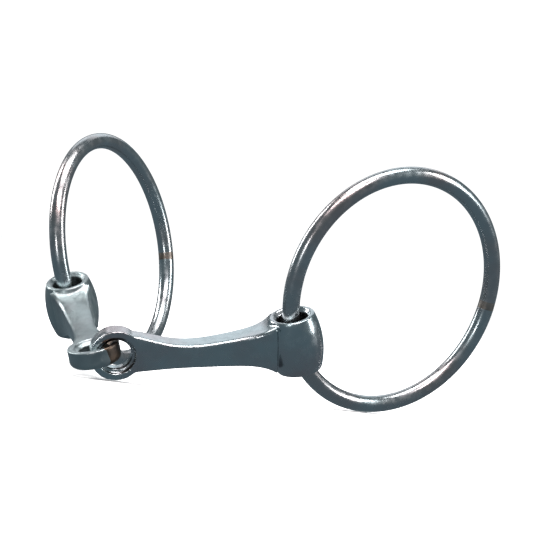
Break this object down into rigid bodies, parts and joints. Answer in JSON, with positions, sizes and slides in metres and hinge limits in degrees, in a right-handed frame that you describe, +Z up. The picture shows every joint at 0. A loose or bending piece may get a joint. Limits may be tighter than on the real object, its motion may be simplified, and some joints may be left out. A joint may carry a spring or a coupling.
{
  "type": "snaffle bit",
  "caption": "Loose-ring snaffle bit: a single-jointed steel mouthpiece of two forged arms linked eye through eye, with a welded wire ring running loose in the barrel hub at each outer end",
  "frame": {"origin": "on the ground under the middle of the bit's bounding box, with the bit resting on both rings and the centre joint", "axes": "+X runs along the right arm away from the centre joint, +Y roughly along the left arm, +Z up"},
  "size_m": [0.156, 0.1378, 0.0846],
  "materials": {
    "arm_steel": "satin",
    "ring_steel": "polished"
  },
  "bodies": {
    "right_arm": {"right_arm": "arm_steel"},
    "left_arm": {"left_arm": "arm_steel"},
    "right_ring": {"right_ring": "ring_steel"},
    "left_ring": {"left_ring": "ring_steel"}
  },
  "joints": [
    {"name": "centre_fold", "type": "hinge", "parent": "right_arm", "child": "left_arm", "pos_m": [-0.059, -0.0569, 0.0078], "axis": [-0.1934, -0.3309, 0.9236], "range_deg": [-15, 84]},
    {"name": "right_ring_swing", "type": "hinge", "parent": "right_arm", "child": "right_ring", "pos_m": [0.00573, -0.05745, 0.02116], "axis": [-0.3278, -0.3265, 0.8865], "range_deg": [-85, 40]},
    {"name": "left_ring_swing", "type": "hinge", "parent": "left_arm", "child": "left_ring", "pos_m": [-0.06527, 0.00164, 0.02038], "axis": [-0.3377, -0.3657, 0.8673], "range_deg": [-25, 95]}
  ]
}
